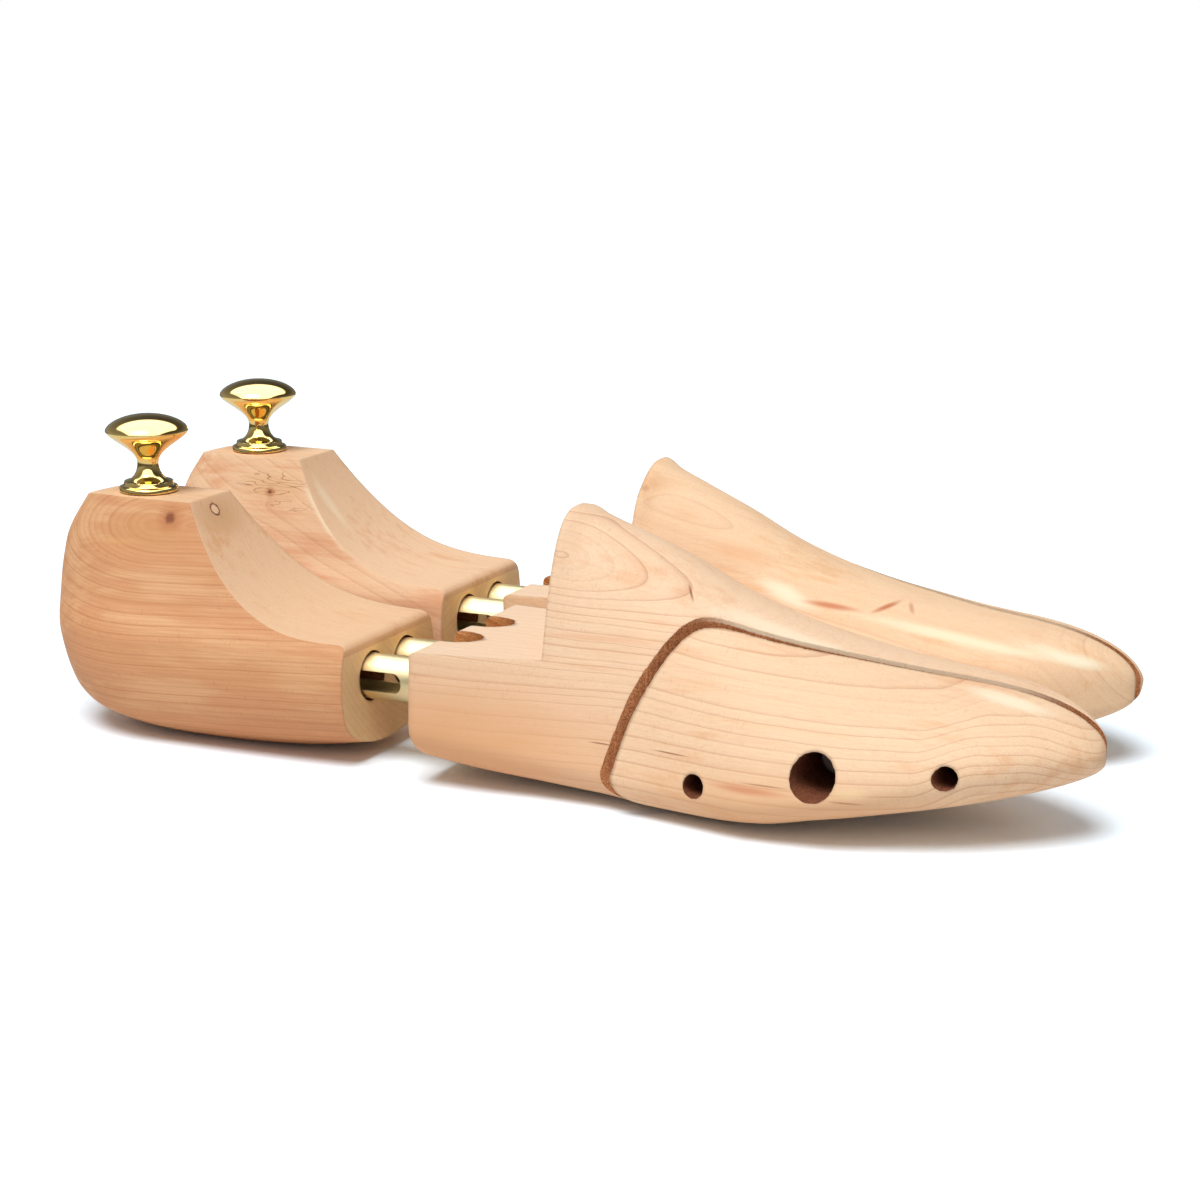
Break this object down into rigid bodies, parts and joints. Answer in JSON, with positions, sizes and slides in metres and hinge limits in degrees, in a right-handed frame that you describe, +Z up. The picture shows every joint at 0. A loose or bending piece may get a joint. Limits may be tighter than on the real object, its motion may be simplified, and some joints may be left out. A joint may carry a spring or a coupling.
{
  "type": "pair of shoe trees",
  "caption": "Pair of wooden shoe trees with a sprung heel block on slotted brass tubes, a brass knob, and a forepart whose split toe side spreads on a spring.",
  "frame": {"origin": "on the floor, under the centre of the pair's bounding box at rest", "axes": "+X from heel to toe, +Y from the right tree to the left tree, +Z up"},
  "size_m": [0.3144, 0.1492, 0.0899],
  "materials": {
    "cedar": "fine sanded, unfinished aromatic cedar",
    "pale_brass": "satin pale brass tube",
    "gold_brass": "polished gold brass",
    "steel": "plain steel pins, bolt and springs"
  },
  "bodies": {
    "right_foot": {"right_forepart": "cedar", "right_pivot_pin": "steel", "right_spread_bolt": "steel", "right_guide_pin_rear": "steel", "right_guide_pin_front": "steel", "right_spread_spring": "steel"},
    "right_tubes": {"right_tube_lateral": "pale_brass", "right_tube_medial": "pale_brass"},
    "right_heel": {"right_heel_block": "cedar", "right_knob": "gold_brass", "right_knob_stud": "steel", "right_heel_cross_pin": "steel", "right_heel_spring_lateral": "steel", "right_heel_spring_medial": "steel"},
    "right_toe_side": {"right_toe_side_piece": "cedar"},
    "left_foot": {"left_forepart": "cedar", "left_pivot_pin": "steel", "left_spread_bolt": "steel", "left_guide_pin_rear": "steel", "left_guide_pin_front": "steel", "left_spread_spring": "steel"},
    "left_tubes": {"left_tube_lateral": "pale_brass", "left_tube_medial": "pale_brass"},
    "left_heel": {"left_heel_block": "cedar", "left_knob": "gold_brass", "left_knob_stud": "steel", "left_heel_cross_pin": "steel", "left_heel_spring_lateral": "steel", "left_heel_spring_medial": "steel"},
    "left_toe_side": {"left_toe_side_piece": "cedar"}
  },
  "joints": [
    {"name": "left_tree_lift", "type": "slide", "parent": "right_foot", "child": "left_foot", "axis": [0, 0, 1], "range_m": [0, 0.15]},
    {"name": "right_tube_tilt", "type": "hinge", "parent": "right_foot", "child": "right_tubes", "pos_m": [0.01753, -0.03605, 0.0238], "axis": [0, 1, 0], "range_deg": [0, 12]},
    {"name": "right_heel_slide", "type": "slide", "parent": "right_tubes", "child": "right_heel", "axis": [1, 0, 0], "range_m": [0, 0.02], "stiffness_N_per_m": 1200, "springref_m": -0.006, "deforming": ["right_heel_spring_lateral", "right_heel_spring_medial"]},
    {"name": "right_toe_spread", "type": "slide", "parent": "right_foot", "child": "right_toe_side", "axis": [0, 1, 0], "range_m": [0, 0.0023], "stiffness_N_per_m": 4000, "springref_m": -0.0015, "deforming": ["right_spread_spring"]},
    {"name": "left_tube_tilt", "type": "hinge", "parent": "left_foot", "child": "left_tubes", "pos_m": [0.00974, 0.03605, 0.0238], "axis": [0, 1, 0], "range_deg": [0, 12]},
    {"name": "left_heel_slide", "type": "slide", "parent": "left_tubes", "child": "left_heel", "axis": [1, 0, 0], "range_m": [0, 0.02], "stiffness_N_per_m": 1200, "springref_m": -0.006, "deforming": ["left_heel_spring_lateral", "left_heel_spring_medial"]},
    {"name": "left_toe_spread", "type": "slide", "parent": "left_foot", "child": "left_toe_side", "axis": [0, -1, 0], "range_m": [0, 0.0023], "stiffness_N_per_m": 4000, "springref_m": -0.0015, "deforming": ["left_spread_spring"]}
  ]
}
